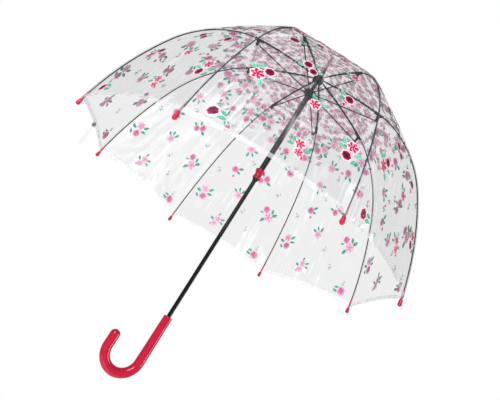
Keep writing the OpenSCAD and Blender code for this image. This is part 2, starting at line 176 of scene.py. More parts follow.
class Nodes:
    """A node tree under construction, and the kinds of node that it is made of."""

    tree: bpy.types.NodeTree

    def node(self, kind: str, **settings: str | bool | bpy.types.NodeTree) -> bpy.types.Node:
        """Add a node and set its properties."""
        found = self.tree.nodes.new(kind)
        for key, value in settings.items():
            setattr(found, key, value)
        return found

    def put(self, value: Socket | float | Colour, end: Socket) -> None:
        """Give an input its value: a link from another socket, or a constant."""
        if isinstance(value, Socket):
            self.tree.links.new(value, end)
        else:
            end.default_value = (*value, 1) if isinstance(value, tuple) else value

    def fill(self, node: bpy.types.Node, values: dict[str, Socket | float | Colour]) -> None:
        """Give a node's inputs their values. In their names, _ may stand for a space."""
        for key, value in values.items():
            self.put(value, node.inputs[key.replace("_", " ")])

    def math(self, operation: str, *values: Socket | float, clamp: bool = False) -> Socket:
        """Add a math node.

        Args:
            operation: What it works out.
            values: Its inputs, in order.
            clamp: Whether the result is held between 0 and 1.

        Returns:
            The result's socket.
        """
        found = self.node("ShaderNodeMath", operation=operation, use_clamp=clamp)
        for value, end in zip(values, found.inputs):
            self.put(value, end)
        return found.outputs[0]

    def smooth_step(self, value: Socket, low: float, high: float) -> Socket:
        """Map a value smoothly from a range onto 0 to 1.

        Args:
            value: The socket.
            low: Where the result is 0.
            high: Where the result is 1.

        Returns:
            The result's socket.
        """
        found = self.node("ShaderNodeMapRange", interpolation_type="SMOOTHSTEP")
        self.fill(found, {"Value": value, "From Min": low, "From Max": high})
        return found.outputs["Result"]

    def noise(self, place: Socket, scale: Socket | float, detail: float, distortion: float = 0.0) -> Socket:
        """Add a noise texture.

        Args:
            place: Where it is looked up.
            scale: How fine it is.
            detail: How many finer layers it has.
            distortion: How far it is warped.

        Returns:
            The noise's socket.
        """
        found = self.node("ShaderNodeTexNoise")
        self.fill(found, {"Vector": place, "Scale": scale, "Detail": detail, "Distortion": distortion})
        return found.outputs["Fac"]

    def blend(self, share: Socket, first: Socket | Colour, second: Socket | Colour) -> Socket:
        """Mix two colours.

        Args:
            share: The second colour's share.
            first: The first colour.
            second: The second colour.

        Returns:
            The mixed colour's socket.
        """
        found = self.node("ShaderNodeMix", data_type="RGBA")
        self.fill(found, {"Factor": share, "A": first, "B": second})
        return found.outputs["Result"]


class ShaderGroup(Nodes):
    """A node group with named inputs and outputs, built once."""

    def __init__(self, name: str, inputs: dict[str, float | Colour], outputs: dict[str, str]) -> None:
        """Make the group's sockets.

        Args:
            name: The group's name.
            inputs: Default of each input: a number, or a colour.
            outputs: Kind of each output: "value" or "colour".
        """
        self.tree = bpy.data.node_groups.new(name, "ShaderNodeTree")
        for key, default in inputs.items():
            is_colour = isinstance(default, tuple)
            kind = "NodeSocketColor" if is_colour else "NodeSocketFloat"
            socket = self.tree.interface.new_socket(key, in_out="INPUT", socket_type=kind)
            socket.default_value = (*default, 1) if is_colour else default
        for key, kind in outputs.items():
            kind = "NodeSocketColor" if kind == "colour" else "NodeSocketFloat"
            self.tree.interface.new_socket(key, in_out="OUTPUT", socket_type=kind)
        self.given = self.tree.nodes.new("NodeGroupInput").outputs
        self.result = self.tree.nodes.new("NodeGroupOutput").inputs


def moulding_group() -> bpy.types.NodeTree:
    """Build the group for moulded and painted parts: cloudy tone, handling marks and fine grain.

    Returns:
        The group's tree.
    """
    group = ShaderGroup("moulding", {"Colour": (0.5, 0.5, 0.5), "Shade": (0.4, 0.4, 0.4),
                                     "Cloud Scale": 40.0, "Gloss": 0.2, "Gloss Spread": 0.1,
                                     "Grain Scale": 900.0},
                        {"Colour": "colour", "Roughness": "value", "Height": "value"})
    given = group.given
    place = group.node("ShaderNodeTexCoord").outputs["Object"]
    cloud = group.smooth_step(group.noise(place, given["Cloud Scale"], 4), 0.35, 0.7)
    group.put(group.blend(cloud, given["Colour"], given["Shade"]), group.result["Colour"])
    marks = group.smooth_step(group.noise(place, 170, 6, 1.5), 0.45, 0.75)
    spread = group.math("MULTIPLY", marks, given["Gloss Spread"])
    group.put(group.math("ADD", given["Gloss"], spread), group.result["Roughness"])
    group.put(group.noise(place, given["Grain Scale"], 3), group.result["Height"])
    return group.tree


def crease_and_highlight_group() -> bpy.types.NodeTree:
    """Build the group for clear film: long creases that run along the ribs and soft folds, as bump heights,
    and a painted highlight mask along the creases.

    Returns:
        The group's tree.
    """
    group = ShaderGroup("film_creases_and_painted_highlights", {"Across": 46.0, "Along": 1.8, "Fineness": 18.0},
                        {"Streak": "value", "Height": "value"})
    place = group.node("ShaderNodeUVMap").outputs["UV"]
    parts = group.node("ShaderNodeSeparateXYZ")
    group.put(place, parts.inputs[0])
    stretched = group.node("ShaderNodeCombineXYZ")
    for axis, key in (("X", "Across"), ("Y", "Along")):
        group.put(group.math("MULTIPLY", parts.outputs[axis], group.given[key]), stretched.inputs[axis])
    grain = group.noise(stretched.outputs["Vector"], 1, 2, 0.35)
    folds = group.noise(place, 9, 2)
    patch = group.smooth_step(folds, 0.44, 0.62)
    # Painted highlight: thin lines on the crease ridges, within the fold patches, where the film is made
    # whiter and denser.
    ridge = group.math("ABSOLUTE", group.math("SUBTRACT", grain, 0.5))
    line = group.smooth_step(group.math("MULTIPLY", ridge, group.given["Fineness"]), 1.0, 0.0)
    group.put(group.math("MULTIPLY", line, patch, clamp=True), group.result["Streak"])
    group.put(group.math("ADD", grain, folds), group.result["Height"])
    return group.tree


def ink_group() -> bpy.types.NodeTree:
    """Build the group for printed ink: a watercolour tone that thins in patches.

    Returns:
        The group's tree.
    """
    group = ShaderGroup("ink_wash", {"Ink": (0.5, 0.1, 0.1), "Wash": (0.6, 0.3, 0.3), "Scale": 240.0},
                        {"Colour": "colour"})
    place = group.node("ShaderNodeTexCoord").outputs["Object"]
    cloud = group.smooth_step(group.noise(place, group.given["Scale"], 3), 0.42, 0.66)
    group.put(group.blend(cloud, group.given["Ink"], group.given["Wash"]), group.result["Colour"])
    return group.tree


class Finish(Nodes):
    """A material under construction: a Principled shader and what feeds it."""

    def __init__(self, name: str) -> None:
        """Start the material.

        Args:
            name: The material's name.
        """
        self.material = bpy.data.materials.new(name)
        self.material.use_nodes = True
        self.tree = self.material.node_tree
        self.shader = self.tree.nodes["Principled BSDF"]

    def group(self, tree: bpy.types.NodeTree, **values: float | Colour) -> bpy.types.Node:
        """Place a shader group and set its inputs, whose names are given with _ for a space."""
        found = self.node("ShaderNodeGroup", node_tree=tree)
        self.fill(found, values)
        return found

    def set(self, **values: Socket | float | Colour) -> None:
        """Set the shader's inputs, whose names are given with _ for a space."""
        self.fill(self.shader, values)

    def bump(self, height: Socket, distance: float, strength: float = 1.0) -> None:
        """Feed a bump from a height.

        Args:
            height: The height's socket.
            distance: Depth in metres.
            strength: Share of the bump that shows.
        """
        found = self.node("ShaderNodeBump")
        self.fill(found, {"Distance": distance, "Strength": strength, "Height": height})
        self.set(Normal=found.outputs["Normal"])


@dataclass(frozen=True)
class Moulding:
    """A moulded or painted finish."""

    name: str
    colour: Colour
    shade: Colour
    gloss: float
    spread: float
    coat: float = 0.0
    metal: float = 0.0
    grain: float = 900.0
    depth: float = 0.000008
    specular: float = 0.5

    def build(self, group: bpy.types.NodeTree) -> bpy.types.Material:
        """Make the material.

        Args:
            group: The moulding group.

        Returns:
            The material.
        """
        finish = Finish(self.name)
        tone = finish.group(group, Colour=self.colour, Shade=self.shade, Gloss=self.gloss,
                            Gloss_Spread=self.spread, Grain_Scale=self.grain).outputs
        finish.set(Base_Color=tone["Colour"], Roughness=tone["Roughness"], Metallic=self.metal,
                   Coat_Weight=self.coat, Coat_Roughness=0.06, IOR=1.5, Specular_IOR_Level=self.specular)
        finish.bump(tone["Height"], self.depth, 0.5)
        return finish.material


class Hardware(Enum):
    """The finishes of the hard parts."""

    SHAFT = Moulding("black_gloss_enamel", (0.002, 0.002, 0.0025), (0.004, 0.004, 0.005), 0.10, 0.06,
                     coat=0.1, depth=0.000001, specular=0.35)
    RIB = Moulding("black_rib_enamel", (0.002, 0.002, 0.0025), (0.005, 0.005, 0.006), 0.4, 0.16,
                   specular=0.12)
    ROD = Moulding("black_glass_rod", (0.002, 0.002, 0.0025), (0.006, 0.006, 0.007), 0.45, 0.15,
                   specular=0.1)
    MOULDED = Moulding("black_moulded_nylon", (0.003, 0.003, 0.0035), (0.008, 0.008, 0.009), 0.4, 0.2,
                       depth=0.00003, specular=0.25)
    HANDLE = Moulding("crimson_lacquered_handle", (0.40, 0.0, 0.024), (0.34, 0.0, 0.018), 0.12, 0.06,
                      coat=0.6, depth=0.000001, specular=0.35)
    TIP = Moulding("crimson_moulded_tip", (0.50, 0.0, 0.035), (0.40, 0.0, 0.024), 0.28, 0.12, coat=0.3)
    FERRULE = Moulding("dark_red_ferrule", (0.20, 0.004, 0.014), (0.12, 0.002, 0.008), 0.3, 0.12)
    STEEL = Moulding("bright_steel", (0.55, 0.56, 0.58), (0.40, 0.41, 0.43), 0.26, 0.2, metal=1.0)


@dataclass(frozen=True)
class ClearFilm:
    """Clear vinyl film: faint grey where it lies flat, whiter and denser along its creases as a painted
    highlight, denser on edge.
    """

    name: str
    veil: float = 0.09
    tint: Colour = (0.16, 0.165, 0.19)
    # Colour of the painted highlight along the creases.
    pale: Colour = (0.96, 0.97, 1.0)
    # Cover that the painted highlight adds along the creases.
    streak: float = 0.05
    rim: float = 0.02
    across: float = 46.0
    along: float = 1.8

    def build(self, group: bpy.types.NodeTree) -> bpy.types.Material:
        """Make the material.

        Args:
            group: The crease group.

        Returns:
            The material.
        """
        finish = Finish(self.name)
        crease = finish.group(group, Across=self.across, Along=self.along).outputs
        edge = finish.node("ShaderNodeLayerWeight")
        edge.inputs["Blend"].default_value = 0.25
        rim = finish.math("MULTIPLY_ADD", edge.outputs["Facing"], self.rim, self.veil)
        # Painted highlight: along the crease mask the colour goes from the grey tint to near white, and the
        # cover rises.
        finish.set(Base_Color=finish.blend(crease["Streak"], self.tint, self.pale),
                   Alpha=finish.math("MULTIPLY_ADD", crease["Streak"], self.streak, rim, clamp=True),
                   Roughness=0.08, IOR=1.5, Specular_IOR_Level=1.0)
        finish.bump(crease["Height"], 0.0006, 0.6)
        return finish.material


class Film(Enum):
    """The finishes of the clear film."""

    PANEL = ClearFilm("clear_film_panel")
    SEAM = ClearFilm("clear_film_seam", veil=0.07, across=300.0, along=60.0)
    # The hem: denser where the film is folded over; its near-white tint is a painted highlight standing in
    # for its shine.
    HEM = ClearFilm("clear_film_hem_painted_shine", veil=0.24, tint=(0.97, 0.98, 1.0), streak=0.0, rim=0.3)
    STRAP = ClearFilm("clear_strap", veil=0.05, tint=(0.7, 0.71, 0.74))


class Ink(Enum):
    """The print's inks, on the outside and as they show from the inside: two tones and the cover."""

    BLUSH = (screen_colour(250, 222, 232), screen_colour(244, 190, 208), 0.95)
    PINK = (screen_colour(214, 48, 108), screen_colour(226, 92, 140), 1.0)
    CRIMSON = (screen_colour(174, 0, 60), screen_colour(194, 12, 78), 1.0)
    MAROON = (screen_colour(88, 0, 38), screen_colour(112, 2, 48), 1.0)
    SHADOW = (screen_colour(56, 0, 24), screen_colour(76, 2, 34), 1.0)
    MINT = (screen_colour(132, 212, 184), screen_colour(104, 192, 162), 0.95)
    TEAL = (screen_colour(38, 150, 122), screen_colour(70, 168, 140), 0.95)
    ROSE_BACK = (screen_colour(220, 150, 184), screen_colour(208, 130, 170), 1.0)
    PETAL_BACK = (screen_colour(188, 84, 134), screen_colour(178, 70, 122), 1.0)
    WHITE_BACK = (screen_colour(238, 206, 224), screen_colour(230, 186, 210), 1.0)
    LEAF_BACK = (screen_colour(56, 150, 122), screen_colour(86, 168, 142), 1.0)
    DUSK = (screen_colour(228, 92, 158), screen_colour(208, 64, 132), 0.46)
    DUSK_PALE = (screen_colour(255, 206, 228), screen_colour(248, 176, 208), 0.6)
    SAGE = (screen_colour(50, 156, 122), screen_colour(36, 130, 100), 0.6)


INKS = list(Ink)


def ink_material(ink: Ink, group: bpy.types.NodeTree) -> bpy.types.Material:
    """Make an ink's material.

    Args:
        ink: Which ink.
        group: The ink group.

    Returns:
        The material.
    """
    finish = Finish(f"ink_{ink.name.lower()}")
    first, second, cover = ink.value
    wash = finish.group(group, Ink=first, Wash=second)
    finish.set(Base_Color=wash.outputs["Colour"], Roughness=0.4, IOR=1.5, Specular_IOR_Level=0.3,
               Alpha=cover)
    return finish.material


# ---------------------------------------------------------------------------------------------
# The canopy's shape
# ---------------------------------------------------------------------------------------------


@dataclass(frozen=True)
class Bend:
    """One stretch of a rib: its length in metres, and how far it turns down in degrees."""

    length: float
    turn: float


@dataclass
class RibLine:
    """The line of an open rib, from the crown ring out to its tip."""

    slope: float = 6.5
    upper: Bend = Bend(0.193, 12)
    kink: float = 3
    lower: tuple[Bend, ...] = (Bend(0.066, 16), Bend(0.162, 28), Bend(0.249, 17))
    ring: Vector = field(init=False)

    def __post_init__(self) -> None:
        """Find the crown ring, which the rib hangs on."""
        low, high = (Vector(corner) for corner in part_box("crown_ring"))
        wire = (high.z - low.z) / 2
        self.ring = Vector(((high.x - low.x) / 2 - wire, 0, (low.z + high.z) / 2))

    @property
    def joint(self) -> float:
        """Length from the crown to the rib joint."""
        return self.upper.length

    @property
    def length(self) -> float:
        """Length from the crown to the tip."""
        return self.upper.length + sum(bend.length for bend in self.lower)

    def walk(self, along: np.ndarray,
             lift: float | np.ndarray) -> tuple[np.ndarray, np.ndarray, np.ndarray]:
        """Follow the rib.

        Args:
            along: Lengths from the crown ring.
            lift: Height above the rib's line.

        Returns:
            Distance from the axis, height and slope in radians, at each length.
        """
        radius, height, slope = np.zeros_like(along), np.zeros_like(along), np.zeros_like(along)
        place = np.array((self.ring.x, self.ring.z))
        heading, start = math.radians(self.slope), 0.0
        for index, bend in enumerate((self.upper, *self.lower)):
            turn = math.radians(bend.turn)
            arc = bend.length / turn
            centre = place - arc * np.array((math.sin(heading), math.cos(heading)))
            here = (along >= start) | (index == 0)
            angle = heading + turn * (along - start) / bend.length
            radius = np.where(here, centre[0] + (arc + lift) * np.sin(angle), radius)
            height = np.where(here, centre[1] + (arc + lift) * np.cos(angle), height)
            slope = np.where(here, angle, slope)
            heading += turn
            place = centre + arc * np.array((math.sin(heading), math.cos(heading)))
            start += bend.length
            if index == 0:
                heading += math.radians(self.kink)
        return radius, height, slope


@dataclass
class Dome:
    """The open canopy's surface: eight panels, flatter than a circle between their ribs."""

    rib: RibLine
    gap: float = 3.25 * MM
    fullness: float = 0.15
    hem_rise: float = 12 * MM
    hem_share: float = 0.992
    top_along: float = 5 * MM
    top_radius: float = 16 * MM
    top_blend: float = 31 * MM
    full_along: float = 112 * MM
    fan_height: float = 0.75 * MM
    run_height: float = 0.28 * MM
    slack_height: float = 0.8 * MM
    top_height: float = field(init=False)

    def __post_init__(self) -> None:
        """Lay the film's middle on top of the crown fitting."""
        self.top_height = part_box("crown_notch")[1][2] + 0.15 * MM

    @property
    def hem(self) -> float:
        """Length from the crown ring to the hem, on a rib."""
        return self.rib.length - self.rib.lower[-1].length * (1 - self.hem_share)

    def reach(self, along: float) -> float:
        """Return the film's distance from the axis on a rib, at a length from the crown ring."""
        return float(self.rib.walk(np.array([along]), self.gap)[0][0])

    def offset(self, turn: np.ndarray) -> tuple[np.ndarray, np.ndarray]:
        """Find the nearest rib of an azimuth.

        Args:
            turn: Azimuths in radians.

        Returns:
            The angle from the nearest rib, and that rib's index from 0.
        """
        index = np.round(turn / RIB_STEP)
        return turn - index * RIB_STEP, index.astype(int) % RIBS

    def ripple(self, along: np.ndarray, off: np.ndarray, index: np.ndarray, radius: np.ndarray) -> np.ndarray:
        """Work out how far the film stands off its smooth shape.

        Folds fan out from each tip and run on along the rib; they die out on the rib and at the
        middle of a panel.

        Args:
            along: Lengths from the crown.
            off: Angles from the nearest rib.
            index: The nearest rib's index.
            radius: Distance from the axis.

        Returns:
            The heights, in metres.
        """
        side = np.abs(off) * radius
        part = np.abs(off) / (RIB_STEP / 2)
        env = np.sin(np.pi * np.clip(part, 0, 1)) ** 0.8
        below = np.clip(self.hem - along, 0, None)
        phase = 1.7 * index + np.where(off > 0, 0.0, 2.3)
        fan = np.sin(20 * np.arctan2(side, below + 0.03) + phase) * np.exp(-below / 0.13)
        fan = fan + 0.6 * np.sin(33 * np.arctan2(side, below + 0.05) + 2 * phase) * np.exp(-below / 0.07)
        runs = np.sin(2 * np.pi * side / 0.034 + phase + 6 * along)
        runs = runs * np.clip((along - self.rib.joint) / 0.15, 0, 1)
        slack = np.sin(9 * along + 3 * part + phase) * np.sin(2 * np.pi * part)
        return env * (self.fan_height * fan + self.run_height * runs + self.slack_height * slack)

    def points(self, along: np.ndarray, turn: np.ndarray, lift: float | np.ndarray = 0.0) -> np.ndarray:
        """Place points on the film.

        Args:
            along: Lengths from the crown ring, along a rib.
            turn: Azimuths in radians.
            lift: Heights above the film's middle.

        Returns:
            The points, in metres.
        """
        off, index = self.offset(turn)
        radius, height, slope = self.rib.walk(along, self.gap)
        seat_r, seat_z, _ = self.rib.walk(np.full_like(along, self.top_blend), self.gap)
        near = np.clip((along - self.top_along) / (self.top_blend - self.top_along), 0, 1)
        on_top = along < self.top_blend
        radius = np.where(on_top, self.top_radius + (seat_r - self.top_radius) * near, radius)
        height = np.where(on_top, self.top_height + (seat_z - self.top_height) * near, height)
        half = RIB_STEP / 2
        chord = math.cos(half) / np.cos(half - np.abs(off))
        share = chord + self.fullness * (1 - chord)
        grown = np.clip((along - self.top_along) / (self.full_along - self.top_along), 0, 1)
        share = 1 - (1 - share) * grown
        skirt = self.rib.length - self.rib.lower[-1].length
        down = np.clip((along - skirt) / (self.hem - skirt), 0, None)
        rise = self.hem_rise * down**2 * np.sin(np.pi * np.abs(off) / RIB_STEP)
        out = lift + self.ripple(along, off, index, radius) * grown
        reach = radius * share + out * np.sin(slope)
        height = height + rise + out * np.cos(slope)
        return np.column_stack((reach * np.cos(turn), reach * np.sin(turn), height))


# ---------------------------------------------------------------------------------------------
# Canopy pieces
# ---------------------------------------------------------------------------------------------


class Fold:
    """Where film pieces ride: each follows its rib's body."""

    joint = "runner_slide"
    keep = 0.13

    @classmethod
    def apply(cls, piece: bpy.types.Object, rib: int, body: str) -> None:
        """Make a piece follow a rib's body.

        Args:
            piece: The finished piece.
            rib: The rib's index, from 0; not used.
            body: The body that it rides on.
        """
        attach(piece, body)
        cls.joint
        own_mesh(piece)


@dataclass
class Canopy:
    """The film's gores, each centred on a rib and cut at the rib joint, with seams and hems."""

    dome: Dome
    film: bpy.types.Material
    seam: bpy.types.Material
    hem: bpy.types.Material
    thickness: float = 0.3 * MM
    upper_cells: tuple[int, int] = (28, 30)
    lower_cells: tuple[int, int] = (64, 112)
    seam_cells: int = 4
    seam_half: float = 3.2 * MM
    seam_lift: float = 0.3 * MM
    seam_start: float = 14 * MM
    hem_cells: int = 2
    hem_width: float = 10 * MM
    hem_lift: float = 0.36 * MM
    map_width: float = 0.32
    map_shift: float = 0.37
    crown_rings: int = 3

    def strip(self, name: str, rib: int, span: tuple[float, float], cells: tuple[int, int], lift: float,
              half: float | None = None) -> bpy.types.Object:
        """Lay a grid on the dome about a rib.

        Args:
            name: The piece's name.
            rib: The rib's index, from 0.
            span: Lengths from the crown of the upper and lower ends.
            cells: Cells across and along.
            lift: Height above the film's middle.
            half: Half the width in metres, or None for the whole gore.

        Returns:
            The piece, still without thickness.
        """
        top, bottom = span

        def place(u: np.ndarray, v: np.ndarray) -> np.ndarray:
            """Lay the grid's points on the dome."""
            along = bottom + (top - bottom) * v
            radius = self.dome.rib.walk(along, self.dome.gap)[0]
            off = (u - 0.5) * RIB_STEP if half is None else (u - 0.5) * 2 * half / radius
            return self.dome.points(along, rib * RIB_STEP + off, lift)

        width = self.map_width if half is None else 2 * half
        return grid_sheet(name, *cells, place, uv_shift=rib * self.map_shift, uv_size=(width, bottom - top))

    def finish(self, piece: bpy.types.Object, rib: int, body: str, thickness: float,
               material: bpy.types.Material) -> bpy.types.Object:
        """Thicken, paint and attach a strip.

        Args:
            piece: The strip.
            rib: The rib's index, from 0.
            body: The body that it rides on.
            thickness: In metres.
            material: Its finish.

        Returns:
            The piece.
        """
        thicken(piece, thickness)
        piece.data.materials.append(material)
        Fold.apply(piece, rib, body)
        return piece

    def build_rib(self, rib: int) -> None:
        """Build one rib's gore.

        Args:
            rib: The rib's index, from 0.
        """
        number, dome = rib + 1, self.dome
        halves = {"upper": ((dome.top_along, dome.rib.joint), self.upper_cells),
                  "lower": ((dome.rib.joint, dome.hem), self.lower_cells)}
        for half, (span, cells) in halves.items():
            body = f"{half}_{number}"
            gore = self.strip(f"film_{half}_{number}", rib, span, cells, 0)
            wide = 2 * math.tan(RIB_STEP / 2) * dome.reach(span[1])
            self.finish(gore, rib, body, self.thickness, self.film)
            weld = (max(span[0], self.seam_start), span[1])
            seam = self.strip(f"seam_{half}_{number}", rib, weld, (self.seam_cells, cells[1]),
                              self.seam_lift, self.seam_half)
            self.finish(seam, rib, body, self.thickness / 2, self.seam)
            if half == "lower":
                edge = self.strip(f"hem_{number}", rib, (dome.hem - self.hem_width, dome.hem),
                                  (cells[0], self.hem_cells), -self.hem_lift)
                self.finish(edge, rib, body, self.thickness, self.hem)
            if rib == 0 and half == "upper":
                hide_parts("canopy")

    def build_crown(self) -> None:
        """Build the flat film between the crown fitting and the washer."""
        dome = self.dome
        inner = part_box("shaft_tube")[1][0] + self.thickness
        growth = (dome.top_radius / inner) ** (1 / self.crown_rings)
        deselect()
        bpy.ops.mesh.primitive_circle_add(vertices=96, radius=inner, location=(0, 0, dome.top_height))
        disc = take("film_crown")
        bpy.ops.object.mode_set(mode="EDIT")
        bpy.ops.mesh.select_all(action="SELECT")
        for _ in range(self.crown_rings):
            bpy.ops.mesh.extrude_region_move()
            bpy.ops.transform.resize(value=(growth, growth, 1))
        bpy.ops.mesh.select_all(action="SELECT")
        bpy.ops.mesh.normals_make_consistent(inside=False)
        bpy.ops.object.mode_set(mode="OBJECT")
        bpy.ops.object.transform_apply()
        thicken(disc, self.thickness)
        disc.data.materials.append(self.seam)
        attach(disc, "frame")

    def build(self, prints: list[dict[str, bpy.types.Object]]) -> None:
        """Build the whole canopy.

        Args:
            prints: For each rib, its printed pieces; not used.
        """
        self.build_crown()
        for rib in range(RIBS):
            self.build_rib(rib)
        LOG.info("canopy: %d gores, hem at %.3f m along the rib", RIBS, self.dome.hem)


# ---------------------------------------------------------------------------------------------
# The rose print
# ---------------------------------------------------------------------------------------------


@dataclass(frozen=True)
class Patch:
    """One flat patch of ink in a motif of radius 1. A layer below 0 is on the film's inside."""

    LARGE: ClassVar[float] = 0.6
    LARGE_CORNERS: ClassVar[int] = 22
    LEAF_CORNERS: ClassVar[int] = 11
    SMALL_CORNERS: ClassVar[int] = 9

    ink: Ink
    radius: float
    layer: int
    centre: tuple[float, float] = (0.0, 0.0)
    stretch: float = 1.0
    turn: float = 0.0
    lobes: int = 0
    depth: float = 0.0
    pointed: bool = False


PETAL_LEAN = 14


def petals(ink: Ink, layer: int, count: int, ring: float, radius: float, stretch: float,
           start: float = 0.0) -> list[Patch]:
    """Set petals in a ring, each lying across its own spoke.

    Args:
        ink: Their ink.
        layer: Their layer.
        count: How many.
        ring: Radius of the ring.
        radius: Half a petal's length.
        stretch: A petal's width as a share of its length.
        start: Angle of the first, in degrees.

    Returns:
        The patches.
    """
    found = []
    for step in range(count):
        angle = math.radians(start + 360 * step / count)
        centre = (ring * math.cos(angle), ring * math.sin(angle))
        lean = PETAL_LEAN * (-1) ** step
        found.append(Patch(ink, radius, layer, centre, stretch, math.degrees(angle) + 90 + lean))
    return found


def twig(stem: Ink, bud: Ink, layer: int) -> list[Patch]:
    """Draw a twig with two buds and two small leaves, on one side of the film.

    Args:
        stem: Ink of the twig and its leaves.
        bud: Ink of the buds.
        layer: The twig's layer; what it bears is one layer further out.

    Returns:
        The patches.
    """
    outer = 2 * layer
    return [Patch(stem, 0.8, layer, (0.1, 0.0), 0.1, 12), Patch(bud, 0.24, outer, (0.95, 0.28), 0.7),
            Patch(bud, 0.17, outer, (0.5, 0.26), 0.7, 40),
            Patch(stem, 0.26, outer, (-0.1, 0.22), 0.45, 50, pointed=True),
            Patch(stem, 0.26, outer, (-0.3, -0.25), 0.45, -60, pointed=True)]


class Motif(Enum):
    """The shapes that the print is made of."""

    MAROON_ROSE = (
        Patch(Ink.BLUSH, 1.04, 1, lobes=7, depth=0.06), Patch(Ink.CRIMSON, 0.84, 2, lobes=7, depth=0.09),
        Patch(Ink.MAROON, 0.70, 3, (0.04, 0.05), lobes=5, depth=0.08),
        *petals(Ink.CRIMSON, 4, 4, 0.56, 0.26, 0.2, 20), *petals(Ink.SHADOW, 4, 3, 0.3, 0.26, 0.4, 70),
        Patch(Ink.SHADOW, 0.24, 5, (0.05, 0.08), lobes=3, depth=0.1),
        Patch(Ink.ROSE_BACK, 0.94, -1, lobes=7, depth=0.07),
        Patch(Ink.PETAL_BACK, 0.62, -2, (0.05, 0.05), lobes=5, depth=0.12),
        *petals(Ink.WHITE_BACK, -3, 4, 0.62, 0.28, 0.2, 20), Patch(Ink.ROSE_BACK, 0.2, -3),
    )
    PINK_ROSE = (
        Patch(Ink.BLUSH, 1.04, 1, lobes=6, depth=0.1), *petals(Ink.CRIMSON, 2, 6, 0.56, 0.4, 0.62, 10),
        Patch(Ink.CRIMSON, 0.5, 2, lobes=5, depth=0.1), *petals(Ink.BLUSH, 3, 5, 0.4, 0.2, 0.26, 44),
        *petals(Ink.PINK, 3, 3, 0.74, 0.22, 0.3, 70), Patch(Ink.PINK, 0.26, 4, lobes=4, depth=0.16),
        Patch(Ink.MAROON, 0.14, 5, (0.03, 0.02)),
        Patch(Ink.WHITE_BACK, 0.94, -1, lobes=6, depth=0.12),
        *petals(Ink.ROSE_BACK, -2, 5, 0.56, 0.34, 0.5, 10),
        *petals(Ink.PETAL_BACK, -3, 5, 0.5, 0.22, 0.3, 30), Patch(Ink.PETAL_BACK, 0.2, -3),
    )
    BUD = (
        Patch(Ink.BLUSH, 1.0, 1, lobes=4, depth=0.1, stretch=0.8),
        Patch(Ink.CRIMSON, 0.82, 2, lobes=4, depth=0.14, stretch=0.75),
        Patch(Ink.PINK, 0.4, 3, (0.15, 0.2), 0.6, 40),
        Patch(Ink.ROSE_BACK, 0.9, -1, lobes=4, depth=0.1, stretch=0.8),
        Patch(Ink.PETAL_BACK, 0.4, -2, (0.1, 0.1), 0.6, 30),
    )
    TEAL_LEAF = (
        Patch(Ink.TEAL, 1.0, 1, stretch=0.5, pointed=True),
        Patch(Ink.MINT, 0.8, 2, (0.0, 0.1), 0.14, pointed=True),
        Patch(Ink.LEAF_BACK, 1.0, -1, stretch=0.5, pointed=True),
    )
    MINT_LEAF = (
        Patch(Ink.MINT, 1.0, 1, stretch=0.56, pointed=True),
        Patch(Ink.TEAL, 0.75, 2, (0.0, -0.1), 0.12, pointed=True),
        Patch(Ink.LEAF_BACK, 1.0, -1, stretch=0.54, pointed=True),
    )
    DUSK_ROSE = (
        Patch(Ink.DUSK, 1.0, 1, lobes=5, depth=0.1),
        Patch(Ink.DUSK, 0.55, 2, (0.1, -0.1), lobes=3, depth=0.2),
        *petals(Ink.DUSK_PALE, 3, 3, 0.7, 0.26, 0.28, 15),
    )
    DUSK_BUD = (
        Patch(Ink.DUSK_PALE, 0.9, 1, lobes=6, depth=0.12), Patch(Ink.DUSK, 0.45, 2, (0.1, 0.1), 0.6, 30),
    )
    DUSK_LEAF = (Patch(Ink.SAGE, 1.0, 1, stretch=0.55, pointed=True),)
    SPRIG = (
        *twig(Ink.TEAL, Ink.CRIMSON, 1), Patch(Ink.PINK, 0.13, 2, (1.2, 0.02)),
        *twig(Ink.LEAF_BACK, Ink.ROSE_BACK, -1),
    )


@dataclass(frozen=True)
class Bloom:
    """One motif of a spray: its offset across and up, its radius (all in mm) and its turn in degrees."""

    motif: Motif
    across: float
    up: float
    radius: float
    turn: float = 0.0


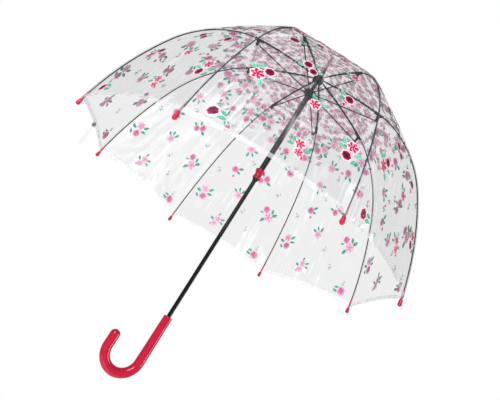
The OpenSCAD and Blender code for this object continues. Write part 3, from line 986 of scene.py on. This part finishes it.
class Spray(Enum):
    """The flower groups of the print."""

    LONE_ROSE = (
        Bloom(Motif.MAROON_ROSE, 0, 0, 10), Bloom(Motif.TEAL_LEAF, 15, 5, 6, 70),
        Bloom(Motif.TEAL_LEAF, 16, -4, 7, 95), Bloom(Motif.SPRIG, 2, 16, 7, 95),
    )
    ROSE_PAIR = (
        Bloom(Motif.PINK_ROSE, 0, 0, 12), Bloom(Motif.MAROON_ROSE, 13, 16, 9),
        Bloom(Motif.MINT_LEAF, -13, 12, 8, 45), Bloom(Motif.MINT_LEAF, -4, 18, 7, -10),
        Bloom(Motif.MINT_LEAF, 12, -13, 8, 30), Bloom(Motif.TEAL_LEAF, 22, 4, 5, 80),
    )
    TWIN_ROSES = (
        Bloom(Motif.PINK_ROSE, 0, 7, 9), Bloom(Motif.PINK_ROSE, 4, -8, 8, 30),
        Bloom(Motif.TEAL_LEAF, -13, 10, 6.5, 60), Bloom(Motif.TEAL_LEAF, -14, 0, 6, 110),
        Bloom(Motif.TEAL_LEAF, 15, 2, 6.5, -60), Bloom(Motif.MINT_LEAF, 2, 20, 5, 10),
        Bloom(Motif.BUD, 12, -14, 3.5),
    )
    MAROON_PAIR = (
        Bloom(Motif.MAROON_ROSE, -6, 5, 9), Bloom(Motif.MAROON_ROSE, 8, -6, 8, 40),
        Bloom(Motif.MINT_LEAF, -16, -4, 7, 100), Bloom(Motif.TEAL_LEAF, 8, 11, 6, -30),
        Bloom(Motif.MINT_LEAF, 19, 0, 6, -80),
    )
    ROSE_AND_LEAVES = (
        Bloom(Motif.PINK_ROSE, 0, 0, 10, 20), Bloom(Motif.TEAL_LEAF, -8, 14, 7, 25),
        Bloom(Motif.TEAL_LEAF, 4, 15, 6, -20), Bloom(Motif.MINT_LEAF, 13, 8, 6, -60),
    )
    DARK_ROSE = (
        Bloom(Motif.MAROON_ROSE, 0, 0, 9, 15), Bloom(Motif.MINT_LEAF, -14, 8, 7, 60),
        Bloom(Motif.TEAL_LEAF, -13, -4, 6, 110), Bloom(Motif.BUD, -6, -17, 4.5),
    )
    TALL_PAIR = (
        Bloom(Motif.PINK_ROSE, 2, 10, 10), Bloom(Motif.MAROON_ROSE, -3, -10, 9),
        Bloom(Motif.MINT_LEAF, -13, 14, 7, 35), Bloom(Motif.MINT_LEAF, -15, 2, 7, 80),
        Bloom(Motif.MINT_LEAF, 14, 0, 7, -70), Bloom(Motif.TEAL_LEAF, 11, -14, 6, -40),
    )
    TWIG = (Bloom(Motif.SPRIG, 0, 0, 8),)


@dataclass(frozen=True)
class Placing:
    """A spray's place in a panel's repeat: mm from the crown, share across the panel, turn in degrees."""

    spray: Spray
    along: float
    across: float
    turn: float = 0.0


REPEAT = (
    Placing(Spray.LONE_ROSE, 640, 0.13), Placing(Spray.TWIN_ROSES, 615, 0.62),
    Placing(Spray.TWIG, 590, 0.32, 60), Placing(Spray.TALL_PAIR, 555, 0.89),
    Placing(Spray.TWIG, 545, 0.45, 100), Placing(Spray.ROSE_PAIR, 515, 0.18),
    Placing(Spray.ROSE_AND_LEAVES, 505, 0.58), Placing(Spray.TWIG, 470, 0.9, 40),
    Placing(Spray.TWIG, 440, 0.2, 120), Placing(Spray.DARK_ROSE, 440, 0.77),
    Placing(Spray.MAROON_PAIR, 420, 0.42), Placing(Spray.TWIG, 395, 0.62, 20),
    Placing(Spray.LONE_ROSE, 358, 0.18, 30), Placing(Spray.ROSE_AND_LEAVES, 360, 0.76, 150),
    Placing(Spray.TWIG, 330, 0.5, 80), Placing(Spray.DARK_ROSE, 305, 0.36, 100),
    Placing(Spray.ROSE_AND_LEAVES, 300, 0.63, 60), Placing(Spray.ROSE_PAIR, 268, 0.13, 200),
    Placing(Spray.TWIG, 262, 0.5, 10), Placing(Spray.TALL_PAIR, 250, 0.86, 90),
    Placing(Spray.DARK_ROSE, 232, 0.3, 240), Placing(Spray.ROSE_AND_LEAVES, 228, 0.62, 300),
)


@dataclass(frozen=True)
class Proof:
    """A motif cut flat, at radius 1: its points, whose height is their layer, faces and inks."""

    points: np.ndarray
    faces: list[tuple[int, ...]]
    inks: list[int]

    @staticmethod
    def stack(proofs: list["Proof"]) -> "Proof":
        """Put proofs together into one."""
        faces: list[tuple[int, ...]] = []
        start = 0
        for proof in proofs:
            faces += [tuple(corner + start for corner in face) for face in proof.faces]
            start += len(proof.points)
        return Proof(np.vstack([proof.points for proof in proofs]), faces,
                     [ink for proof in proofs for ink in proof.inks])


def cut(patch: Patch) -> Proof:
    """Cut one patch of ink as a fan about its centre.

    Args:
        patch: What it looks like.

    Returns:
        The patch's proof.
    """
    large = patch.radius * max(patch.stretch, 0.5) > Patch.LARGE
    small = Patch.LEAF_CORNERS if patch.pointed else Patch.SMALL_CORNERS
    corners = Patch.LARGE_CORNERS if large else small
    rings = 2 if large else 1
    angle = np.tile(np.linspace(0, 2 * np.pi, corners, endpoint=False), rings)
    size = patch.radius * (1 + patch.depth * np.cos(patch.lobes * angle))
    size = size * np.repeat(np.arange(1, rings + 1) / rings, corners)
    x, y = size * np.cos(angle), size * np.sin(angle)
    x = x * (1 - 0.5 * np.abs(y) / patch.radius) if patch.pointed else x
    x = x * patch.stretch
    turn = math.radians(patch.turn)
    ring = np.column_stack((x * math.cos(turn) - y * math.sin(turn) + patch.centre[0],
                            x * math.sin(turn) + y * math.cos(turn) + patch.centre[1],
                            np.full(len(x), patch.layer)))
    points = np.vstack((ring, (*patch.centre, patch.layer)))
    faces: list[tuple[int, ...]] = [(len(ring), step, (step + 1) % corners) for step in range(corners)]
    if large:
        faces += [(step, step + corners, (step + 1) % corners + corners, (step + 1) % corners)
                  for step in range(corners)]
    if patch.layer < 0:
        faces = [face[::-1] for face in faces]
    return Proof(points, faces, [INKS.index(patch.ink)] * len(faces))


@dataclass
class RosePrint:
    """The print: small crowded roses round the crown that thin out into scattered sprays."""

    dome: Dome
    inks: list[bpy.types.Material]
    skin: float = 0.3 * MM
    layer_step: float = 0.07 * MM
    enlarge: float = 1.22
    crown_rows: int = 16
    crown_pitch: float = 18.5 * MM
    crown_start: float = 33 * MM
    thin_from: float = 0.165
    thin_over: float = 0.13
    rose_share: float = 0.8
    leaf_share: float = 0.65
    rose_radius: tuple[float, float] = (7.5, 11)
    rose_shift: tuple[float, float] = (-5, 5)
    leaf_radius: tuple[float, float] = (3.5, 5.0)
    leaf_shift: tuple[float, float] = (-10, 10)
    leaf_side: float = 0.45
    spins: tuple[float, float] = (0, 6)
    joint_clear: float = 12 * MM
    proofs: dict[Motif, Proof] = field(default_factory=dict)

    def proof(self, motif: Motif) -> Proof:
        """Return a motif's flat proof, which is cut the first time it is asked for."""
        if motif not in self.proofs:
            self.proofs[motif] = Proof.stack([cut(patch) for patch in motif.value])
        return self.proofs[motif]

    def lay(self, motif: Motif, along: float, turn: float, radius: float, spin: float) -> Proof:
        """Print a motif on the dome.

        Args:
            motif: What is printed.
            along: Length from the crown.
            turn: Azimuth in radians.
            radius: Its radius in metres.
            spin: Its turn in radians.

        Returns:
            The motif with its points on the dome.
        """
        proof = self.proof(motif)
        flat = proof.points
        x = (flat[:, 0] * math.cos(spin) - flat[:, 1] * math.sin(spin)) * radius
        y = (flat[:, 0] * math.sin(spin) + flat[:, 1] * math.cos(spin)) * radius
        lengths = np.clip(along - y, self.dome.top_along, self.dome.hem - 1 * MM)
        lift = np.sign(flat[:, 2]) * (self.skin + self.layer_step * np.abs(flat[:, 2]))
        turns = turn + x / self.dome.reach(along)
        return Proof(self.dome.points(lengths, turns, lift), proof.faces, proof.inks)

    def scattered(self) -> list[tuple[Motif, float, float, float, float]]:
        """List the motifs of one panel's scattered sprays.

        Returns:
            For each motif: what, length from the crown, share across the panel, radius and spin.
        """
        found = []
        for placing in REPEAT:
            turn = math.radians(placing.turn)
            reach = self.dome.reach(placing.along * MM)
            for bloom in placing.spray.value:
                x = (bloom.across * math.cos(turn) - bloom.up * math.sin(turn)) * self.enlarge
                y = (bloom.across * math.sin(turn) + bloom.up * math.cos(turn)) * self.enlarge
                across = placing.across + x * MM / reach / RIB_STEP
                found.append((bloom.motif, (placing.along - y) * MM, across,
                              bloom.radius * MM * self.enlarge, turn + math.radians(bloom.turn)))
        return found

    def crowded(self, panel: int) -> list[tuple[Motif, float, float, float, float]]:
        """List the small roses and leaves round the crown of one panel.

        Args:
            panel: The panel's index, from 0.

        Returns:
            For each motif: what, length from the crown, share across the panel, radius and spin.
        """
        dice = random.Random(11 + panel)
        found = []
        for row in range(self.crown_rows):
            along = self.crown_start + row * self.crown_pitch
            count = round(self.dome.reach(along) * RIB_STEP / self.crown_pitch)
            chance = min(1.0, 1.1 - (along - self.thin_from) / self.thin_over)
            for step in range(count):
                if dice.random() > chance:
                    continue
                across = (step + 0.5 + dice.uniform(-0.25, 0.25)) / count
                place = along + dice.uniform(*self.rose_shift) * MM
                rose = Motif.DUSK_ROSE if dice.random() < self.rose_share else Motif.DUSK_BUD
                found.append((rose, place, across, dice.uniform(*self.rose_radius) * MM,
                              dice.uniform(*self.spins)))
                for side in (-1, 1):
                    if dice.random() < self.leaf_share:
                        found.append((Motif.DUSK_LEAF, place + dice.uniform(*self.leaf_shift) * MM,
                                      across + side * self.leaf_side / count,
                                      dice.uniform(*self.leaf_radius) * MM,
                                      dice.uniform(*self.spins)))
        return found

    def piece(self, name: str, proof: Proof) -> bpy.types.Object:
        """Turn laid motifs into a piece.

        Args:
            name: The piece's name.
            proof: The motifs.

        Returns:
            The piece.
        """
        mesh = bpy.data.meshes.new(name)
        mesh.from_pydata(proof.points.tolist(), [], proof.faces)
        for ink in self.inks:
            mesh.materials.append(ink)
        mesh.polygons.foreach_set("material_index", proof.inks)
        mesh.polygons.foreach_set("use_smooth", [True] * len(proof.faces))
        return add_object(name, mesh)

    def build(self) -> list[dict[str, bpy.types.Object]]:
        """Print the whole canopy.

        Returns:
            For each rib, its upper and lower printed pieces.
        """
        laid: dict[tuple[int, str], list[Proof]] = {}
        joint = self.dome.rib.joint
        scattered = self.scattered()
        for panel in range(RIBS):
            for motif, along, across, radius, spin in self.crowded(panel) + scattered:
                if abs(along - joint) < self.joint_clear:
                    along = joint + math.copysign(self.joint_clear, along - joint)
                turn = (panel + across) * RIB_STEP
                half = "upper" if along < joint else "lower"
                key = (round(turn / RIB_STEP) % RIBS, half)
                laid.setdefault(key, []).append(self.lay(motif, along, turn, radius, spin))
        found: list[dict[str, bpy.types.Object]] = [{} for _ in range(RIBS)]
        for (rib, half), motifs in sorted(laid.items()):
            found[rib][half] = self.piece(f"print_{half}_{rib + 1}", Proof.stack(motifs))
            Fold.apply(found[rib][half], rib, f"{half}_{rib + 1}")
        LOG.info("print: %d motifs in all", sum(len(motifs) for motifs in laid.values()))
        return found


# ---------------------------------------------------------------------------------------------
# Strap
# ---------------------------------------------------------------------------------------------


@dataclass
class TieStrap:
    """The clear strap at the hem with its snap."""

    finish: bpy.types.Material
    metal: bpy.types.Material
    keep: float = 0.19
    width: float = 16 * MM
    thickness: float = 0.6 * MM
    gap: float = 1.6 * MM
    top_inset: float = 1 * MM
    short_by: float = 12 * MM
    bow: float = 0.5 * MM
    corner: float = 2.5 * MM
    corner_share: float = 0.18
    end_share: float = 0.97

    def build(self) -> None:
        """Build the strap along its folded line."""
        low, high = (Vector(c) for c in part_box("tie_strap"))
        centre = (low + high) / 2
        turn = math.atan2(centre.y, centre.x)
        reach = math.hypot(centre.x, centre.y)
        top, gap = high.z - self.top_inset, self.gap
        fold = low.z + gap + self.thickness / 2
        outer, inner, bend = top - fold, top - self.short_by - fold, math.pi * gap
        total = outer + inner + bend

        def place(u: np.ndarray, v: np.ndarray) -> np.ndarray:
            """Lay the strap's points: down the outer leaf, round the fold and up the inner leaf."""
            run = v * total
            round_fold = np.clip((run - outer) / bend, 0, 1) * math.pi
            x = gap * np.cos(round_fold)
            z = np.where(run < outer, top - run, np.where(run > outer + bend, fold + run - outer - bend,
                                                          fold - gap * np.sin(round_fold)))
            x = x + self.bow * np.sin(np.pi * (z - fold) / outer) * np.sign(np.cos(round_fold)) * 0.5
            y = (u - 0.5) * self.width
            end = np.clip((np.abs(u - 0.5) - 0.5 + self.corner_share) / self.corner_share, 0, 1)
            z = z - np.where(v > self.end_share, self.corner * end**2, 0)
            return np.column_stack(((reach + x) * math.cos(turn) - y * math.sin(turn),
                                    (reach + x) * math.sin(turn) + y * math.cos(turn), z))

        strap = grid_sheet("strap_band", 10, 60, place, uv_size=(self.width, total))
        thicken(strap, self.thickness)
        strap.data.materials.append(self.finish)
        self.draw_in(strap)
        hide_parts("tie_strap")
        for node in ("snap_socket", "snap_stud"):
            self.build_snap(node, turn)
        LOG.info("strap: %.0f mm long", total / MM)

    def draw_in(self, piece: bpy.types.Object) -> None:
        """Make a piece follow the strap's body.

        Args:
            piece: The finished piece.
        """
        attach(piece, "strap")
        Fold.joint
        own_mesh(piece)

    def build_snap(self, node: str, turn: float) -> None:
        """Build one half of the snap, with a rolled rim.

        Args:
            node: The node that it stands for.
            turn: The strap's azimuth in radians.
        """
        low, high = (Vector(c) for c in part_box(node))
        radius = (high.z - low.z) / 2
        side = radius * abs(math.sin(turn))
        depth = max((high.x - low.x - 2 * side) / math.cos(turn), 0.8 * MM)
        deselect()
        bpy.ops.mesh.primitive_cylinder_add(vertices=40, radius=radius, depth=depth,
                                            location=(low + high) / 2, rotation=(0, math.pi / 2, turn))
        snap = take(f"{node}_pressed")
        bpy.ops.object.transform_apply()
        rim = snap.modifiers.new("rim", "BEVEL")
        rim.width, rim.segments = 0.3 * depth, 3
        bpy.ops.object.modifier_apply(modifier=rim.name)
        bpy.ops.object.shade_smooth_by_angle(angle=math.radians(40))
        snap.data.materials.append(self.metal)
        self.draw_in(snap)
        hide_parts(node)
        LOG.info("%s: %.1f mm across, %.1f mm deep", node, 2 * radius / MM, depth / MM)


# ---------------------------------------------------------------------------------------------
# Hard parts and studio
# ---------------------------------------------------------------------------------------------


class HardParts:
    """The shaft, handle, runner, ribs and fittings, which keep their CAD shapes."""

    finishes = {
        "shaft_tube": Hardware.SHAFT, "handle": Hardware.HANDLE, "handle_pin": Hardware.STEEL,
        "crown_notch": Hardware.MOULDED, "crown_ring": Hardware.STEEL, "crown_pin": Hardware.STEEL,
        "top_washer": Hardware.FERRULE, "ferrule": Hardware.FERRULE, "stop_pin": Hardware.STEEL,
        "runner_sleeve": Hardware.SHAFT, "runner_grip": Hardware.HANDLE, "runner_hub": Hardware.MOULDED,
        "runner_ring": Hardware.STEEL, "top_spring": Hardware.STEEL, "bottom_spring": Hardware.STEEL,
        "snap_socket": Hardware.STEEL, "snap_stud": Hardware.STEEL, "upper_rib": Hardware.RIB,
        "rib_joint": Hardware.MOULDED, "lower_rib": Hardware.ROD, "tip": Hardware.TIP,
        "stretcher": Hardware.RIB,
    }

    def dress(self, group: bpy.types.NodeTree) -> dict[Hardware, bpy.types.Material]:
        """Give every CAD node its finish.

        Args:
            group: The moulding group.

        Returns:
            The finishes' materials.
        """
        built = {finish: finish.value.build(group) for finish in Hardware}
        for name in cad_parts:
            family = name.rsplit("_", 1)[0] if name[-1].isdigit() else name
            if family in self.finishes:
                slots = bpy.data.objects[name].data.materials
                if len(slots) == 0:
                    slots.append(None)
                for index in range(len(slots)):
                    slots[index] = built[self.finishes[family]]
        LOG.info("hard parts: %d nodes", len(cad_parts))
        return built


@dataclass(frozen=True)
class Softbox:
    """A softbox: where it stands, its width and height in metres, and its power in watts."""

    name: str
    place: tuple[float, float, float]
    size: tuple[float, float]
    power: float
    mirrored: bool = True


@dataclass
class Studio:
    """Camera, lights, backdrop and floor."""

    SOFTBOXES: ClassVar[tuple[Softbox, ...]] = (
        Softbox("key_softbox", (1.7, 1.9, 1.7), (1.1, 1.5), 34),
        Softbox("side_softbox", (-2.1, 1.0, 0.7), (0.5, 1.9), 20),
        Softbox("low_softbox", (0.9, 1.5, -0.75), (2.0, 2.0), 72, mirrored=False),
    )

    camera_place: Vector = field(default_factory=lambda: Vector((0.448, 1.117, 0.125)))
    azimuth: float = -112.6
    elevation: float = 17.14
    roll: float = 32.1
    lens: float = 37.6
    floor_height: float = -1.2
    floor_radius: float = 1.3
    surround: float = 0.36
    lit_height: float = 0.6

    def build(self) -> None:
        """Build the studio."""
        self.add_camera()
        self.add_world()
        self.add_floor()
        for box in self.SOFTBOXES:
            self.add_light(box)

    def add_camera(self) -> None:
        """Add the camera."""
        azimuth, elevation, roll = (math.radians(v) for v in (self.azimuth, self.elevation, self.roll))
        forward = Vector((math.cos(azimuth) * math.cos(elevation), math.sin(azimuth) * math.cos(elevation),
                          math.sin(elevation)))
        right = forward.cross(Vector((0, 0, 1))).normalized()
        up = right.cross(forward)
        top = up * math.cos(roll) - right * math.sin(roll)
        side = right * math.cos(roll) + up * math.sin(roll)
        data = bpy.data.cameras.new("camera")
        data.lens, data.clip_start, data.clip_end = self.lens, 0.01, 50
        camera = add_object("camera", data)
        turn = Matrix((side, top, -forward)).transposed().to_4x4()
        camera.matrix_world = Matrix.Translation(self.camera_place) @ turn
        bpy.context.scene.camera = camera

    def add_world(self) -> None:
        """Make a white backdrop that lights the umbrella less than it shows."""
        world = bpy.data.worlds.new("studio")
        world.use_nodes = True
        tree = world.node_tree
        ray = tree.nodes.new("ShaderNodeLightPath")
        level = tree.nodes.new("ShaderNodeMapRange")
        tree.links.new(ray.outputs["Is Camera Ray"], level.inputs["Value"])
        level.inputs["To Min"].default_value = self.surround
        tree.nodes["Background"].inputs["Color"].default_value = (1, 1, 1, 1)
        tree.links.new(level.outputs["Result"], tree.nodes["Background"].inputs["Strength"])
        bpy.context.scene.world = world
        bpy.context.scene.view_settings.view_transform = "Standard"

    def add_floor(self) -> None:
        """Add a pale round floor, well below the umbrella."""
        deselect()
        bpy.ops.mesh.primitive_circle_add(vertices=96, radius=self.floor_radius, fill_type="NGON",
                                          location=(0, 0, self.floor_height))
        floor = take("floor")
        finish = Finish("pale_floor")
        finish.set(Base_Color=(0.9, 0.9, 0.9), Roughness=0.8)
        floor.data.materials.append(finish.material)

    def add_light(self, box: Softbox) -> None:
        """Add a softbox that points at the middle of the canopy.

        Args:
            box: Which one.
        """
        data = bpy.data.lights.new(box.name, "AREA")
        data.shape, data.size, data.size_y, data.energy = "RECTANGLE", *box.size, box.power
        light = add_object(box.name, data)
        light.visible_glossy = box.mirrored
        place = Vector(box.place)
        turn = (Vector((0, 0, self.lit_height)) - place).to_track_quat("-Z", "Y").to_matrix().to_4x4()
        light.matrix_world = Matrix.Translation(place) @ turn


def main() -> None:
    """Build the umbrella and its studio, in order."""
    logging.basicConfig(level=logging.INFO)
    Studio().build()
    finishes = HardParts().dress(moulding_group())
    creases, wash = crease_and_highlight_group(), ink_group()
    dome = Dome(RibLine())
    prints = RosePrint(dome, [ink_material(ink, wash) for ink in INKS]).build()
    film = {kind: kind.value.build(creases) for kind in Film}
    Canopy(dome, film[Film.PANEL], film[Film.SEAM], film[Film.HEM]).build(prints)
    TieStrap(film[Film.STRAP], finishes[Hardware.STEEL]).build()


if __name__ == "__main__":
    main()
